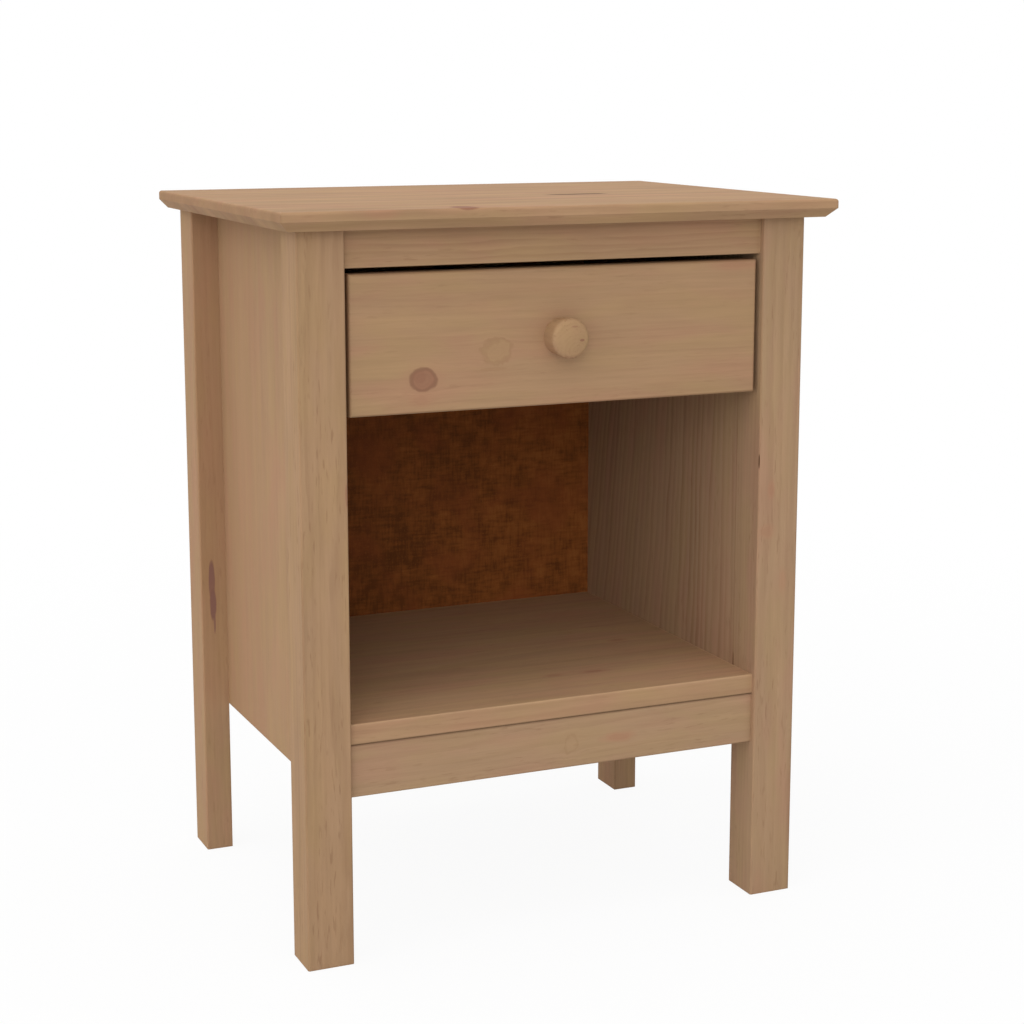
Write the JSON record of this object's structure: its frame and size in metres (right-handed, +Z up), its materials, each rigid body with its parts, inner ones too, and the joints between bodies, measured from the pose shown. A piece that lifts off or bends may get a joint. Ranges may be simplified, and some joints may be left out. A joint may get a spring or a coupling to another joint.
{
  "type": "nightstand with drawer",
  "caption": "Pine nightstand: bevelled top on square legs, panelled sides, a knobbed drawer on roller runners and an open shelf with an apron below.",
  "frame": {"origin": "on the floor, under the middle of the top board's outline", "axes": "+X to the right seen from the front, +Y from the drawer front to the back, +Z up"},
  "size_m": [0.508, 0.378, 0.64],
  "materials": {
    "pine": "light brown stained pine, satin clear coat",
    "raw_pine": "planed pine, unstained",
    "hardboard": "smooth pressed hardboard",
    "knob_wood": "turned and stained pine, satin clear coat",
    "beech": "plain turned beech",
    "runner_paint": "cream powder coat on steel sheet",
    "nylon": "moulded white nylon",
    "zinc": "zinc plated steel"
  },
  "bodies": {
    "cabinet": {"top_board": "pine", "front_left_leg": "pine", "front_right_leg": "pine", "back_left_leg": "pine", "back_right_leg": "pine", "left_side_panel": "pine", "right_side_panel": "pine", "front_top_rail": "pine", "apron": "pine", "shelf": "pine", "back_top_rail": "raw_pine", "back_bottom_rail": "raw_pine", "left_top_cleat": "raw_pine", "right_top_cleat": "raw_pine", "left_shelf_cleat": "raw_pine", "right_shelf_cleat": "raw_pine", "back_panel": "hardboard", "front_rail_dowels": "beech", "back_rail_dowels": "beech", "back_leg_dowels": "beech", "left_runner_channel": "runner_paint", "right_runner_channel": "runner_paint", "front_roller_axles": "zinc", "top_screws": "zinc", "shelf_screws": "zinc", "cleat_screws": "zinc", "channel_screws": "zinc", "back_panel_nails": "zinc"},
    "drawer": {"drawer_front": "pine", "drawer_left_side": "raw_pine", "drawer_right_side": "raw_pine", "drawer_back": "raw_pine", "drawer_bottom": "hardboard", "knob": "knob_wood", "knob_screw": "zinc", "drawer_dowels": "beech", "drawer_bottom_nails": "zinc", "left_drawer_rail": "runner_paint", "right_drawer_rail": "runner_paint", "drawer_rail_screws": "zinc", "rear_roller_axles": "zinc"},
    "front_left_roller_wheel": {"front_left_roller": "nylon"},
    "front_right_roller_wheel": {"front_right_roller": "nylon"},
    "rear_left_roller_wheel": {"rear_left_roller": "nylon"},
    "rear_right_roller_wheel": {"rear_right_roller": "nylon"}
  },
  "joints": [
    {"name": "drawer_slide", "type": "slide", "parent": "cabinet", "child": "drawer", "axis": [0, -1, 0], "range_m": [0, 0.23]},
    {"name": "front_left_roller_spin", "type": "hinge", "parent": "cabinet", "child": "front_left_roller_wheel", "pos_m": [-0.18565, -0.126, 0.4916], "axis": [1, 0, 0], "range_deg": [0, 1440]},
    {"name": "front_right_roller_spin", "type": "hinge", "parent": "cabinet", "child": "front_right_roller_wheel", "pos_m": [0.18565, -0.126, 0.4916], "axis": [1, 0, 0], "range_deg": [0, 1440]},
    {"name": "rear_left_roller_spin", "type": "hinge", "parent": "drawer", "child": "rear_left_roller_wheel", "pos_m": [-0.18565, 0.144, 0.4916], "axis": [1, 0, 0], "range_deg": [0, 1440]},
    {"name": "rear_right_roller_spin", "type": "hinge", "parent": "drawer", "child": "rear_right_roller_wheel", "pos_m": [0.18565, 0.144, 0.4916], "axis": [1, 0, 0], "range_deg": [0, 1440]}
  ],
  "couplings": [
    {"joint": "front_left_roller_spin", "follows": "drawer_slide", "rad_per_m": 107.53},
    {"joint": "front_right_roller_spin", "follows": "drawer_slide", "rad_per_m": 107.53},
    {"joint": "rear_left_roller_spin", "follows": "drawer_slide", "rad_per_m": 107.53},
    {"joint": "rear_right_roller_spin", "follows": "drawer_slide", "rad_per_m": 107.53}
  ]
}
